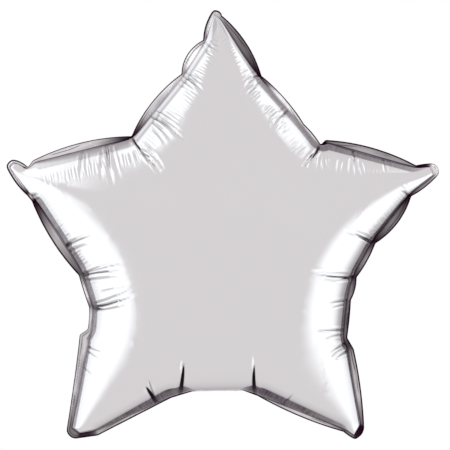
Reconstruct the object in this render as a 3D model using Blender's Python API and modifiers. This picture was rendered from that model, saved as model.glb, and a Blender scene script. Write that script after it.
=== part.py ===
"""Star-shaped foil balloon, inflated.

Two star-cut films are heat-sealed round their border. Inflated, each film swells into a dome, and the
border draws in between small pinches, which gives the outline its scallops. The filling tail at the bottom
notch is folded up behind the balloon, with the two films of its one-way valve inside it.

Metres, +Z up. The star stands in the XZ plane, its front faces -Y, and the origin is the envelope's centre.
"""

import math

import bmesh
import bpy
import numpy as np
from mathutils import Vector
from mathutils.bvhtree import BVHTree

MM = 0.001

# The border as it lies when the balloon is full: where two scallops meet, and how far the scallop from
# there to the next point stands out. Clockwise from the top tip: name, x, z, scallop height, all in mm.
BORDER = [
    ("top tip, left", -6, 248, 3.2),
    ("top tip, right", 4, 243, 5.8),
    ("top arm, right, upper pinch", 46, 179, 2.9),
    ("top arm, right, lower pinch", 91, 128, 1.1),
    ("upper right notch", 109, 106, 0.0),
    ("right arm, top, root", 114, 111, 5.5),
    ("right arm, top, pinch", 210, 84, 0.5),
    ("right tip, top", 227, 86, 3.2),
    ("right tip, end", 233, 73, 1.6),
    ("right arm, below, pinch", 205, 51, 5.8),
    ("right arm, below, root", 167, 1, 1.6),
    ("right notch", 147, -35, 1.6),
    ("right leg, outer root", 141, -59, 0.5),
    ("right leg, outer pinch", 140, -105, 1.8),
    ("right foot, outer", 155, -192, 3.2),
    ("right foot, bottom", 145, -207, 0.5),
    ("right leg, inner pinch", 133, -199, 3.0),
    ("right leg, inner root", 42, -161, 0.0),
    ("tail, right edge", 26, -154, 0.0),
    ("tail, left edge", -30, -154, 0.0),
    ("left leg, inner root", -52, -162, 0.0),
    ("left leg, inner pinch", -128, -203, 0.0),
    ("left foot, bottom", -149, -206, 3.2),
    ("left foot, outer", -161, -197, -0.5),
    ("left leg, outer pinch", -142, -92, -0.5),
    ("left notch", -137, -67, 0.5),
    ("left arm, below, root", -148, -33, 4.5),
    ("left arm, below, pinch", -201, 49, 0.5),
    ("left tip, end", -225, 82, 2.7),
    ("left tip, top", -216, 90, 1.1),
    ("left arm, top, pinch", -200, 86, 6.4),
    ("upper left notch", -92, 115, 6.4),
    ("top arm, left, lower pinch", -39, 181, 6.4),
    ("top arm, left, upper pinch", -16, 217, 2.5),
]

HALF_DEPTH = 85 * MM  # from the seam's plane to the top of either dome
WALL = 2.0 * MM  # stands in for film of 0.04 mm
GAP = 0.3 * MM  # between faces that touch on the real thing

SEAM_THICK = 1.0 * MM
SEAM_INSET = 3.0 * MM  # from the border's pinches to the line where the domes rise
SEAM_SEAT = 3.0 * MM  # how far the seal runs in under the domes' edges
SCALLOP_STEP = 6 * MM
DOME_STEP = 14 * MM
DOME_RINGS = (1.0, 0.985, 0.945, 0.87, 0.76, 0.61, 0.43, 0.22)  # shares of the way out to the seam
LEAST_TURN = math.radians(0.7)  # between neighbouring points of a dome's edge, about the star's centre
DOME_HOLLOW = 0.985  # the inner face's size, which leaves the wall's thickness along every straight edge

TAIL_ROOT = min(z for name, x, z, _ in BORDER if name.startswith("tail")) * MM  # the border's height there
TAIL_MIDDLE = -2 * MM  # the bottom notch lies a little left of the centre
TAIL_ROOT_WIDTH = 46 * MM
TAIL_WIDTH = 34 * MM
TAIL_TAPER = 40 * MM  # length over which the root narrows to the tail's width
TAIL_LENGTH = 92 * MM
TAIL_FLAT = 36 * MM  # straight stretch at its end
TAIL_CLEAR = 0.5 * MM  # off the back dome, because both are made of flat facets
TAIL_FILM = 0.8 * MM
TAIL_SEAL_WIDTH = 4 * MM
TAIL_STEP = 4 * MM
VALVE_FILM = 0.6 * MM
VALVE_REACH = 66 * MM  # how far the valve goes into the tail
VALVE_TONGUE = 6 * MM  # what stands out of the tail's mouth, where the filling tube goes in

FOIL_SILVER = (0.80, 0.80, 0.81)
SEAL_SILVER = (0.62, 0.61, 0.63)
VALVE_CLEAR = (0.86, 0.88, 0.90)


def cleared_scene():
    for old in list(bpy.data.objects):
        bpy.data.objects.remove(old, do_unlink=True)


def collection(name):
    made = bpy.data.collections.new(name)
    bpy.context.scene.collection.children.link(made)
    return made


def finish(name, colour, metallic, roughness):
    material = bpy.data.materials.new(name)
    material.use_nodes = True
    shader = material.node_tree.nodes["Principled BSDF"]
    shader.inputs["Base Color"].default_value = (*colour, 1.0)
    shader.inputs["Metallic"].default_value = metallic
    shader.inputs["Roughness"].default_value = roughness
    return material


def added(name, data, material, parts):
    piece = bpy.data.objects.new(name, data)
    parts.objects.link(piece)
    piece.data.materials.append(material)
    return piece


def outline(step, scallop_share, inset):
    """The border as points about step apart, its scallops scaled, and moved inwards by inset."""
    points = []
    for row, (_, x, z, height) in enumerate(BORDER):
        start = Vector((x, z)) * MM
        end = Vector(BORDER[(row + 1) % len(BORDER)][1:3]) * MM
        chord = end - start
        outwards = Vector((-chord.y, chord.x)).normalized()
        count = max(1, round(chord.length / step))
        for i in range(count):
            t = i / count
            lift = scallop_share * height * MM * 4 * t * (1 - t)
            points.append(start + chord * t + outwards * lift)
    moved = []
    for i, point in enumerate(points):
        along = (points[(i + 1) % len(points)] - points[i - 1]).normalized()
        moved.append(point + Vector((along.y, -along.x)) * inset)
    return moved


def membrane(points, triangles, edge_count):
    """How far a skin held at its edge sags under an even load: the first edge_count points are the edge."""
    count = len(points)
    stiffness = np.zeros((count, count))
    load = np.zeros(count)
    for triangle in triangles:
        for k in range(3):
            i, j, opposite = triangle[k], triangle[(k + 1) % 3], triangle[(k + 2) % 3]
            a = points[i] - points[opposite]
            b = points[j] - points[opposite]
            area_twice = abs(a.x * b.y - a.y * b.x)
            weight = 0.5 * a.dot(b) / area_twice
            stiffness[i, i] += weight
            stiffness[j, j] += weight
            stiffness[i, j] -= weight
            stiffness[j, i] -= weight
            load[opposite] += area_twice / 6
    sag = np.zeros(count)
    inner = slice(edge_count, count)
    sag[inner] = np.linalg.solve(stiffness[inner, inner], load[inner])
    return sag


def advancing(points):
    """The points without those that double back, as seen from the star's centre."""
    kept = [points[0]]
    for point in points[1:]:
        before = kept[-1]
        turn = math.atan2(before.y * point.x - before.x * point.y, before.dot(point))
        if turn > LEAST_TURN:
            kept.append(point)
    return kept


def dome_surface():
    """Points and triangles of one dome: its edge ring first, then smaller rings, and the middle last."""
    edge = advancing(outline(DOME_STEP, 0.3, SEAM_INSET))
    count = len(edge)
    flat = [point * share for share in DOME_RINGS for point in edge]
    flat.append(Vector((0, 0)))
    triangles = []
    for ring in range(len(DOME_RINGS) - 1):
        for i in range(count):
            a = ring * count + i
            b = ring * count + (i + 1) % count
            triangles += [(a, b, b + count), (a, b + count, a + count)]
    last = (len(DOME_RINGS) - 1) * count
    triangles += [(last + i, last + (i + 1) % count, len(flat) - 1) for i in range(count)]
    sag = membrane(flat, triangles, count)
    heights = (HALF_DEPTH - SEAM_THICK / 2 - GAP) * np.sqrt(np.maximum(sag, 0) / sag.max())
    return flat, heights, triangles, count


def dome_shell(name, surface, side):
    """One film's dome, open towards the seam: its inner face is a copy of the outer one, drawn in by the wall."""
    flat, heights, triangles, count = surface
    shell = bmesh.new()
    skins = []
    for across, up in ((1.0, 1.0), (DOME_HOLLOW, 1.0 - WALL / HALF_DEPTH)):
        rise = side * (SEAM_THICK / 2 + GAP)
        skins.append(
            [shell.verts.new((p.x * across, rise + side * up * h, p.y * across)) for p, h in zip(flat, heights)]
        )
    for skin in skins:
        for corners in triangles:
            shell.faces.new([skin[corner] for corner in corners])
    outer, inner = skins
    for i in range(count):
        j = (i + 1) % count
        shell.faces.new((outer[i], outer[j], inner[j], inner[i]))
    bmesh.ops.recalc_face_normals(shell, faces=shell.faces)
    mesh = bpy.data.meshes.new(name)
    shell.to_mesh(mesh)
    shell.free()
    mesh.shade_smooth()
    return mesh


def panel(name, surface, side, parts):
    return added(name, dome_shell(name, surface, side), finish(name, FOIL_SILVER, 1.0, 0.18), parts)


def flat_ring(name, loops, thickness, material, parts):
    """A flat plate in the XZ plane, with the first loop for its outline and the second for its hole."""
    plate = bmesh.new()
    for loop in loops:
        verts = [plate.verts.new((place.x, 0, place.y)) for place in loop]
        for near, far in zip(verts, verts[1:] + verts[:1]):
            plate.edges.new((near, far))
    bmesh.ops.triangle_fill(plate, use_beauty=True, edges=plate.edges, normal=(0, -1, 0))
    mesh = bpy.data.meshes.new(name)
    plate.to_mesh(mesh)
    plate.free()
    ring = added(name, mesh, material, parts)
    sheet = ring.modifiers.new("sheet", "SOLIDIFY")
    sheet.thickness = thickness
    sheet.offset = 0
    return ring


def tail_line(surface):
    """The folded tail's line as (y, z): under the seam, round the back dome's swell, then straight on."""
    flat, heights, triangles, _ = surface
    rise = SEAM_THICK / 2 + GAP
    dome = BVHTree.FromPolygons([(p.x, rise + h, p.y) for p, h in zip(flat, heights)], triangles)
    half = TAIL_ROOT_WIDTH / 2
    bottom = TAIL_ROOT + SEAM_INSET
    swell = []
    for z in np.arange(bottom, bottom + 0.075, 0.001):
        reach = 0.0
        for x in np.linspace(TAIL_MIDDLE - half, TAIL_MIDDLE + half, 25):
            hit = dome.ray_cast(Vector((x, 0.3, z)), Vector((0, -1, 0)))[0]
            if hit:
                reach = max(reach, hit.y)
        swell.append(Vector((reach, z)))
    under = TAIL_ROOT - GAP
    points = [Vector((-SEAM_THICK, under)), Vector((SEAM_THICK, under))]
    points += taut(swell, points[-1])
    return points


def taut(points, start):
    """The points that a stretched film touches on its way outwards and up over them."""
    line = [start]
    rest = [p for p in points if p.x > start.x]
    while rest:
        turn = [math.atan2(p.y - line[-1].y, p.x - line[-1].x) for p in rest]
        nearest = turn.index(min(turn))
        line.append(rest[nearest])
        rest = rest[nearest + 1:]
    return line[1:]


def walk(line, start, length, step):
    """Points a step apart along the line, from start for this length, with the last stretch run straight on."""
    stretches = [(a, b, (b - a).length) for a, b in zip(line, line[1:])]
    curved = TAIL_LENGTH - TAIL_FLAT
    places = list(np.linspace(start, start + length, max(2, round(length / step) + 1)))
    found = []
    for place in places:
        left = min(place, curved)
        for a, b, size in stretches:
            if left <= size:
                break
            left -= size
        ahead = (b - a).normalized()
        found.append((place, a + ahead * (left + max(0.0, place - curved)), Vector((ahead.y, -ahead.x))))
    return found


def half_width(place):
    share = min(1.0, max(0.0, place / TAIL_TAPER))
    eased = share * share * (3 - 2 * share)
    return (TAIL_ROOT_WIDTH + (TAIL_WIDTH - TAIL_ROOT_WIDTH) * eased) / 2


def tail_strip(name, line, span, lift, thickness, edges, material, parts):
    """A strip of film on the tail's line. edges(place) gives its two sides, measured from the tail's middle."""
    film = bmesh.new()
    rows = []
    for place, point, out in walk(line, span[0], span[1] - span[0], TAIL_STEP):
        rows.append([])
        for height in (lift, lift + thickness):
            at = point + out * height
            rows[-1] += [film.verts.new((TAIL_MIDDLE + x, at.x, at.y)) for x in edges(place)]
    for near, far in zip(rows, rows[1:]):
        for a, b in ((0, 1), (1, 3), (3, 2), (2, 0)):
            film.faces.new((near[a], near[b], far[b], far[a]))
    for end in (rows[0], rows[-1]):
        film.faces.new((end[0], end[1], end[3], end[2]))
    bmesh.ops.recalc_face_normals(film, faces=film.faces)
    mesh = bpy.data.meshes.new(name)
    film.to_mesh(mesh)
    film.free()
    return added(name, mesh, material, parts)


def tail(surface, parts):
    """Inner film, valve films with a seal on each side of them, and outer film, one on the other."""
    line = tail_line(surface)
    inner_lift = TAIL_CLEAR
    seal_lift = inner_lift + TAIL_FILM + GAP
    valve_inner_lift = seal_lift
    valve_outer_lift = valve_inner_lift + VALVE_FILM + GAP
    outer_lift = valve_outer_lift + VALVE_FILM + GAP
    seal_thick = outer_lift - GAP - seal_lift
    whole = (0.0, TAIL_LENGTH)
    valve = (TAIL_LENGTH - VALVE_REACH, TAIL_LENGTH + VALVE_TONGUE)

    def full(place):
        return (-half_width(place), half_width(place))

    def left_seal(place):
        return (-half_width(place), TAIL_SEAL_WIDTH - half_width(place))

    def right_seal(place):
        return (half_width(place) - TAIL_SEAL_WIDTH, half_width(place))

    def between_seals(place):
        side = TAIL_WIDTH / 2 - TAIL_SEAL_WIDTH - GAP
        return (-side, side)

    rows = [
        ("tail_inner_film", whole, inner_lift, TAIL_FILM, full, FOIL_SILVER, 1.0, 0.20),
        ("tail_seal_left", whole, seal_lift, seal_thick, left_seal, SEAL_SILVER, 1.0, 0.28),
        ("tail_seal_right", whole, seal_lift, seal_thick, right_seal, SEAL_SILVER, 1.0, 0.28),
        ("valve_inner_film", valve, valve_inner_lift, VALVE_FILM, between_seals, VALVE_CLEAR, 0.0, 0.35),
        ("valve_outer_film", valve, valve_outer_lift, VALVE_FILM, between_seals, VALVE_CLEAR, 0.0, 0.35),
        ("tail_outer_film", whole, outer_lift, TAIL_FILM, full, FOIL_SILVER, 1.0, 0.20),
    ]
    for name, span, lift, thickness, edges, colour, metallic, roughness in rows:
        material = finish(name, colour, metallic, roughness)
        tail_strip(name, line, span, lift, thickness, edges, material, parts)


def main():
    cleared_scene()
    parts = collection("star_foil_balloon")
    surface = dome_surface()
    panel("front_panel", surface, -1, parts)
    panel("back_panel", surface, 1, parts)
    seal = finish("border_seal", SEAL_SILVER, 1.0, 0.28)
    rim = outline(SCALLOP_STEP, 1.0, 0.0)
    hole = advancing(outline(SCALLOP_STEP, 0.3, SEAM_INSET + SEAM_SEAT))
    flat_ring("border_seal", (rim, hole), SEAM_THICK, seal, parts)
    tail(surface, parts)


main()
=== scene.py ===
# %% [markdown]
# # A star-shaped foil balloon
#
# Two thin metallised films are cut as stars, laid on each other and heat-sealed round their border. Gas
# then swells each film into a dome. Film like this bends but hardly stretches, so the border has to draw
# in, and it does that in steps: small pinches, with a scallop of border between each two and sharp creases
# that run from each pinch into the dome. This lesson builds those things in that order.
#
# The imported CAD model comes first. It is the fixed frame: its size and its places hold for all that follows.

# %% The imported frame
import math

import bpy
import numpy as np
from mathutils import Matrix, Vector, geometry
from mathutils.bvhtree import BVHTree
from mathutils.kdtree import KDTree


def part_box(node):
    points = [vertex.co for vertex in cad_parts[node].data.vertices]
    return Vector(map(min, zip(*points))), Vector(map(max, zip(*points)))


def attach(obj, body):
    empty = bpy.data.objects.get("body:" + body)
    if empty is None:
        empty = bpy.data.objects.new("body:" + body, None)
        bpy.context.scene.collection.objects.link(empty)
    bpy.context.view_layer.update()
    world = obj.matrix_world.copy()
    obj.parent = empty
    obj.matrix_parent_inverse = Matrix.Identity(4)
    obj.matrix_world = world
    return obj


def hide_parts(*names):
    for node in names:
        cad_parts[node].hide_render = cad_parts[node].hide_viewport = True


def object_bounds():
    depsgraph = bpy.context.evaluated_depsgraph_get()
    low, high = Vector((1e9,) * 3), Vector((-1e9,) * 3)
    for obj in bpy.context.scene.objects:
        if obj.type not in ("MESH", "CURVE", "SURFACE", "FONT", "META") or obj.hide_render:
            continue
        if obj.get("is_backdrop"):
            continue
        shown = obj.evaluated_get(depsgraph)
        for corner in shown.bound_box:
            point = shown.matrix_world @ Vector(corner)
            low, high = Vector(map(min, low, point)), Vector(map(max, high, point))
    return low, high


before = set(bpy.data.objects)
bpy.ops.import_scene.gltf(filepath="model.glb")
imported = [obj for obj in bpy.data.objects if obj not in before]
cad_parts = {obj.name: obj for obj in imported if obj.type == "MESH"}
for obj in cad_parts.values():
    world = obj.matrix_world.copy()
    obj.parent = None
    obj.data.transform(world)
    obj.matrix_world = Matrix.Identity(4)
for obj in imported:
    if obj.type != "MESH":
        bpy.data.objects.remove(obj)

MM = 0.001
scene = bpy.context.scene
cad_low, cad_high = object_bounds()
print("CAD box", [round(x, 4) for x in (*cad_low, *cad_high)], "nodes", len(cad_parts))

# %% [markdown]
# ## The camera
#
# The photograph looks square at the front with a long lens, so both arms look alike and no side shows. A
# long lens far away gives that. Its distance follows from how much of the seam's plane the frame covers.

# %% Camera
PIXEL = 1.062 * MM  # of the seam's plane, for each pixel of the frame
FRAME_PIXELS = 450
LOOK_RIGHT, LOOK_UP = 6.8 * PIXEL, 19.4 * PIXEL  # of the star's middle
LENS, SENSOR = 150, 36
camera_data = bpy.data.cameras.new("camera")
camera_data.lens = LENS
camera_data.sensor_width = SENSOR
camera = bpy.data.objects.new("camera", camera_data)
scene.collection.objects.link(camera)
camera.location = (LOOK_RIGHT, -FRAME_PIXELS * PIXEL * LENS / SENSOR, LOOK_UP)
camera.rotation_euler = (math.pi / 2, 0, 0)
scene.camera = camera
print("camera", [round(x, 3) for x in camera.location])

# %% [markdown]
# ## The border's line
#
# The outline is what everybody sees first: each arm's side is a row of scallops that meet in pinches. One
# smooth curve could give the arms but not the pinches, so a table lists them one by one, in millimetres,
# which is easy to read and to correct. For the scallop up to the next pinch it also says how far it stands
# out, how far inside the pinch the seam runs where the two films part, how steeply the scallop leans back,
# how strong the fine streaks beside it are, and how far from the seam they begin and end.

# %% Border table
BORDER = [  # pinch, x, z, scallop, inset, lean, streaks: how strong, from, to
    ("top tip, left", -6, 248, 3.2, 3.2, 0.6, 0.1, 6, 16),
    ("top tip, right", 4, 243, 5.8, 3.6, 0.1, 1.1, 7, 20),
    ("top arm, right, upper pinch", 46, 179, 3.4, 2.6, 1.35, 1.4, 13, 28),
    ("top arm, right, lower pinch", 91, 128, 1.1, 2.6, 1.1, 1.2, 14, 34),
    ("upper right notch", 109, 106, 0.0, 2.6, 0.0, 0.3, 14, 34),
    ("right arm, top, root", 114, 111, 5.5, 2.6, 0.1, 0.1, 14, 28),
    ("right arm, top, pinch", 210, 84, 0.5, 2.6, 0.0, 0.0, 8, 16),
    ("right tip, top", 227, 86, 3.2, 3.0, -0.75, 0.0, 8, 16),
    ("right tip, end", 233, 73, 1.6, 3.4, 0.1, 0.0, 8, 16),
    ("right arm, below, pinch", 205, 51, 5.8, 3.0, 0.0, 1.6, 4, 16),
    ("right arm, below, root", 167, 1, 1.6, 4.5, 0.1, 0.1, 5, 14),
    ("right notch", 147, -35, 1.6, 4.5, 0.0, 0.1, 5, 14),
    ("right leg, root", 141, -59, 0.5, 4.5, 0.1, 0.1, 5, 14),
    ("right leg, upper pinch", 137, -99, 0.0, 4.5, 0.0, 0.1, 5, 14),
    ("right leg, lower pinch", 144, -111, 1.8, 6.0, 0.2, 0.0, 5, 14),
    ("right foot, outer", 155, -192, 3.2, 3.2, 0.0, 0.0, 5, 14),
    ("right foot, bottom", 145, -207, 0.5, 2.8, 0.0, 0.0, 5, 14),
    ("right leg, inner pinch", 133, -199, 3.0, 3.0, 0.0, 0.0, 5, 14),
    ("right leg, inner root", 42, -161, 0.0, 1.5, 0.0, 0.0, 5, 14),
    ("tail, right edge", 26, -155, 0.0, 1.2, 0.0, 0.0, 5, 14),
    ("tail, left edge", -27, -156, 0.0, 1.2, 0.0, 0.0, 5, 14),
    ("left leg, inner root", -50, -163, 0.0, 1.6, 0.0, 0.0, 5, 14),
    ("left leg, inner pinch", -128, -203, 0.0, 5.2, 0.0, 0.0, 5, 14),
    ("left foot, bottom", -149, -206, 3.2, 4.5, 0.0, 0.0, 5, 14),
    ("left foot, outer", -161, -197, -0.5, 5.0, 0.2, 0.1, 5, 14),
    ("left leg, lower pinch", -147, -96, 0.0, 10.0, 0.1, 0.1, 5, 16),
    ("left leg, upper pinch", -138.5, -90, -0.5, 4.5, 0.1, 0.1, 5, 16),
    ("left notch", -137, -67, 0.5, 4.5, 0.1, 0.2, 10, 30),
    ("left arm, below, root", -148, -33, 4.5, 5.0, 0.2, 1.1, 8, 17),
    ("left arm, below, pinch", -198, 46, 0.0, 4.0, 0.0, 0.2, 5, 14),
    ("left arm, below, tip pinch", -203, 52, 2.2, 3.0, 0.8, 0.1, 5, 12),
    ("left tip, end", -225, 82, 2.7, 2.6, 0.5, 0.0, 5, 12),
    ("left tip, top", -216, 90, 1.1, 2.6, 0.4, 0.0, 5, 12),
    ("left arm, top, pinch", -202, 82, 0.0, 2.6, 0.0, 0.3, 8, 16),
    ("left arm, top, start", -197, 89, 6.4, 2.6, 0.3, 1.0, 17, 36),
    ("upper left notch", -92, 115, 6.4, 2.6, 0.8, 1.1, 12, 34),
    ("top arm, left, lower pinch", -39, 181, 6.4, 2.6, 0.85, 1.5, 8, 26),
    ("top arm, left, upper pinch", -16, 217, 2.5, 2.6, 0.6, 0.5, 6, 18),
]
print("pinches", len(BORDER))

# %% Seam and cut edge
SEAM_STEP = 1.25 * MM


def eased(loop, reach):
    """A closed row of points or values, each averaged with its neighbours within about reach points."""
    count = len(loop)
    offsets = np.minimum(np.arange(count), count - np.arange(count))
    weights = np.exp(-0.5 * (offsets / reach) ** 2)
    spectrum = np.fft.fft(weights / weights.sum())
    if loop.ndim == 1:
        return np.real(np.fft.ifft(np.fft.fft(loop) * spectrum))
    return np.stack([eased(loop[:, k], reach) for k in range(loop.shape[1])], axis=1)


def outward(loop):
    """Unit directions out of a closed loop that runs clockwise."""
    along = np.roll(loop, -1, 0) - np.roll(loop, 1, 0)
    along /= np.linalg.norm(along, axis=1)[:, None]
    return np.stack([-along[:, 1], along[:, 0]], axis=1)


corners = np.array([row[1:3] for row in BORDER], float) * MM
sides = np.roll(corners, -1, 0) - corners
side_lengths = np.linalg.norm(sides, axis=1)
starts = np.concatenate([[0], np.cumsum(side_lengths)])
seam_count = int(round(starts[-1] / SEAM_STEP))
places = np.linspace(0, starts[-1], seam_count, endpoint=False)
scallop = np.searchsorted(starts, places, side="right") - 1
share = (places - starts[scallop]) / side_lengths[scallop]
chord = corners[scallop] + sides[scallop] * share[:, None]
mid = 4 * share * (1 - share)  # nought at a pinch and 1 half way to the next
bulge = np.array([row[3] for row in BORDER])[scallop] * MM * mid
insets = np.array([row[4] for row in BORDER]) * MM
inset = insets[scallop] * (1 - share) + np.roll(insets, -1)[scallop] * share
out = outward(eased(chord, 3.0))
seam = eased(eased(chord, 1.8) - out * eased(inset, 3)[:, None], 1.6)
rim = eased(chord, 0.7) + out * np.maximum(bulge, -1.0 * MM)[:, None]
print("seam points", seam_count, "length", round(float(starts[-1]), 3))

# %% [markdown]
# The same scallops also differ in how light or dark they look, as each reflects a lighter or darker part of
# the room. That is painted into the colour of the border and of a strip of the film beside it, as painted
# reflection and shade. A second table says how much, from 0 for black to 1 for bright, along each scallop and
# along its strip, and how strongly its cut edge and its weld show as dark lines of painted shade. Where the
# strip ends, some sides have a thin painted line as well, and painted shade past it.

# %% Painted reflection and shade at the border
# Painted reflection and shade for each scallop: the border's tone at its start, middle and end; how dark its
# cut edge and its weld are; the strip's width in mm at both ends; its tone at both ends; and the tone of the
# strip's line and how dark the film beyond it is.
LOOKS = {
    "top tip, left": ((0.85, 0.88, 0.80), (1.2, 0.0), (0.0, 0.0), (1.0, 1.0), (1.0, 0.0)),
    "top tip, right": ((0.72, 0.52, 0.00), (1.0, 0.5), (4.0, 5.5), (0.95, 0.76), (1.0, 0.0)),
    "top arm, right, upper pinch": ((0.15, 0.95, 1.00), (0.8, 0.5), (7.0, 7.0), (0.70, 0.74), (0.97, 0.0)),
    "top arm, right, lower pinch": ((1.00, 0.90, 0.70), (0.8, 0.6), (7.0, 7.5), (0.68, 0.66), (0.95, 0.0)),
    "upper right notch": ((0.00, 0.00, 0.00), (1.0, 0.0), (7.5, 8.5), (0.66, 0.55), (1.0, 0.0)),
    "right arm, top, root": ((0.50, 0.76, 0.60), (1.0, 1.0), (8.5, 6.0), (0.60, 0.74), (1.0, 0.0)),
    "right arm, top, pinch": ((0.00, 0.10, 0.90), (0.8, 0.4), (4.0, 0.0), (0.75, 1.00), (1.0, 0.0)),
    "right tip, top": ((1.00, 1.00, 1.00), (0.2, 0.0), (0.0, 0.0), (1.0, 1.0), (1.0, 0.0)),
    "right tip, end": ((0.85, 0.60, 0.15), (0.8, 0.4), (0.0, 2.0), (1.0, 0.80), (1.0, 0.0)),
    "right arm, below, pinch": ((0.00, 0.56, 0.05), (1.0, 0.8), (3.0, 4.5), (0.65, 0.50), (1.0, 0.4)),
    "right arm, below, root": ((0.15, 0.64, 0.20), (1.0, 0.8), (5.5, 5.5), (0.42, 0.38), (1.0, 0.6)),
    "right notch": ((0.10, 0.60, 0.55), (1.0, 0.8), (5.0, 5.0), (0.42, 0.44), (1.0, 0.7)),
    "right leg, root": ((0.45, 0.50, 0.50), (1.0, 0.8), (4.5, 4.5), (0.44, 0.44), (1.0, 0.7)),
    "right leg, upper pinch": ((0.45, 0.30, 0.50), (1.0, 0.8), (4.0, 4.0), (0.44, 0.40), (1.0, 0.5)),
    "right leg, lower pinch": ((0.60, 0.84, 0.42), (1.0, 0.6), (3.5, 2.5), (0.42, 0.36), (1.0, 0.3)),
    "right foot, outer": ((0.05, 0.10, 0.25), (1.0, 0.3), (2.0, 1.0), (0.50, 0.70), (1.0, 0.0)),
    "right foot, bottom": ((0.40, 0.70, 0.50), (1.0, 0.6), (1.0, 2.0), (0.90, 0.80), (1.0, 0.0)),
    "right leg, inner pinch": ((0.60, 1.00, 0.60), (0.9, 0.9), (4.0, 11.0), (0.72, 0.44), (0.9, 0.3)),
    "right leg, inner root": ((0.35, 0.40, 0.80), (1.0, 0.2), (11.0, 8.0), (0.46, 0.55), (1.0, 0.2)),
    "tail, right edge": ((1.00, 1.00, 1.00), (0.0, 0.0), (0.0, 0.0), (1.0, 1.0), (1.0, 0.0)),
    "tail, left edge": ((0.80, 0.50, 0.45), (1.0, 0.2), (8.0, 11.0), (0.56, 0.50), (1.0, 0.2)),
    "left leg, inner root": ((0.60, 0.84, 0.84), (0.9, 0.7), (10.5, 2.0), (0.50, 0.56), (0.9, 0.3)),
    "left leg, inner pinch": ((0.60, 0.20, 0.20), (1.0, 0.4), (3.0, 2.0), (0.66, 0.66), (1.0, 0.0)),
    "left foot, bottom": ((0.40, 0.55, 0.55), (1.0, 0.6), (2.0, 3.0), (0.66, 0.66), (1.0, 0.0)),
    "left foot, outer": ((0.55, 0.76, 0.90), (0.55, 0.25), (4.0, 4.5), (0.66, 0.68), (1.0, 0.15)),
    "left leg, lower pinch": ((0.85, 0.90, 0.95), (0.3, 0.6), (4.5, 5.0), (0.68, 0.68), (1.0, 0.15)),
    "left leg, upper pinch": ((0.90, 0.95, 0.75), (0.3, 0.6), (6.0, 6.5), (0.67, 0.64), (1.0, 0.2)),
    "left notch": ((0.45, 0.90, 0.45), (0.6, 0.6), (7.0, 7.0), (0.60, 0.60), (1.0, 0.25)),
    "left arm, below, root": ((0.40, 0.74, 0.00), (1.1, 0.7), (8.5, 7.5), (0.62, 0.62), (1.0, 0.25)),
    "left arm, below, pinch": ((0.30, 0.95, 0.80), (1.0, 0.5), (2.0, 1.0), (0.80, 0.95), (1.0, 0.0)),
    "left arm, below, tip pinch": ((0.00, 0.92, 1.00), (1.2, 0.3), (0.0, 0.0), (1.0, 1.0), (1.0, 0.0)),
    "left tip, end": ((0.80, 0.97, 1.00), (1.1, 0.2), (0.0, 0.0), (1.0, 1.0), (1.0, 0.0)),
    "left tip, top": ((1.00, 1.00, 0.90), (0.9, 0.3), (0.0, 0.0), (1.0, 1.0), (1.0, 0.0)),
    "left arm, top, pinch": ((0.90, 0.95, 1.00), (0.3, 0.3), (2.0, 5.0), (0.95, 0.90), (0.95, 0.0)),
    "left arm, top, start": ((1.00, 0.97, 0.00), (0.6, 0.9), (9.0, 10.5), (0.89, 0.84), (0.97, 0.0)),
    "upper left notch": ((0.00, 0.80, 1.00), (0.8, 0.2), (7.0, 7.0), (1.0, 1.0), (0.78, 0.0)),
    "top arm, left, lower pinch": ((0.60, 1.00, 1.00), (0.8, 0.25), (6.5, 6.5), (1.0, 1.0), (0.78, 0.0)),
    "top arm, left, upper pinch": ((0.80, 0.88, 0.85), (1.2, 0.0), (7.0, 7.0), (0.95, 0.86), (1.0, 0.0)),
}

# %% Tones along the seam
DISPLAY = 2.2  # a tone as the eye grades it, to this power, is an amount of light
# The painted reflection and shade from the table, along the seam: the border's tone and lines, and the
# strip's.
looks = np.array([sum(LOOKS[row[0]], ()) for row in BORDER])[scallop]
to_end = np.abs(2 * share - 1) ** 1.8
end_tone = np.where(share < 0.5, looks[:, 0], looks[:, 2])
tone = eased(looks[:, 1] * (1 - to_end) + end_tone * to_end, 1.0) ** DISPLAY
lines = eased(looks[:, 3:5], 2.5)
strip_width, strip_tone = (looks[:, k] * (1 - share) + looks[:, k + 1] * share for k in (5, 7))
strip = np.stack([strip_width * MM, strip_tone ** DISPLAY, looks[:, 9] ** DISPLAY, looks[:, 10]], axis=1)
strip = eased(strip, 2.5)
print("border tone", round(float(tone.mean()), 2), "widest strip", round(float(strip[:, 0].max()), 4))

# %% [markdown]
# ## A mesh for one film
#
# The film's shape changes fast near the seam and slowly in the middle, so the mesh does too. Rows of points
# follow the seam for the first few millimetres, where the film rises almost straight up. Further in, a
# triangular grid takes over, fine where the creases run and coarser towards the centre. A subdivided plane
# would be as fine everywhere and many times heavier. Blender's Delaunay function joins any such cloud of
# points to triangles.

# %% Distance from the seam
seam_tree = KDTree(seam_count)
for i, (x, z) in enumerate(seam):
    seam_tree.insert((x, z, 0), i)
seam_tree.balance()


def from_seam(points):
    """Each point's distance from the seam and the nearest seam point's number."""
    found = [seam_tree.find((x, z, 0)) for x, z in points]
    return np.array([f[2] for f in found]), np.array([f[1] for f in found])


def inside(points, loop):
    """Which points lie inside a closed loop."""
    found = np.zeros(len(points), bool)
    x, z = points[:, 0], points[:, 1]
    for (ax, az), (bx, bz) in zip(loop, np.roll(loop, -1, 0)):
        crosses = (az > z) != (bz > z)
        found ^= crosses & (x < (bx - ax) * (z - az) / (bz - az + 1e-15) + ax)
    return found


print("cut edge from the seam", round(float(from_seam(rim)[0].max()) / MM, 1), "mm at most")

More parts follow.
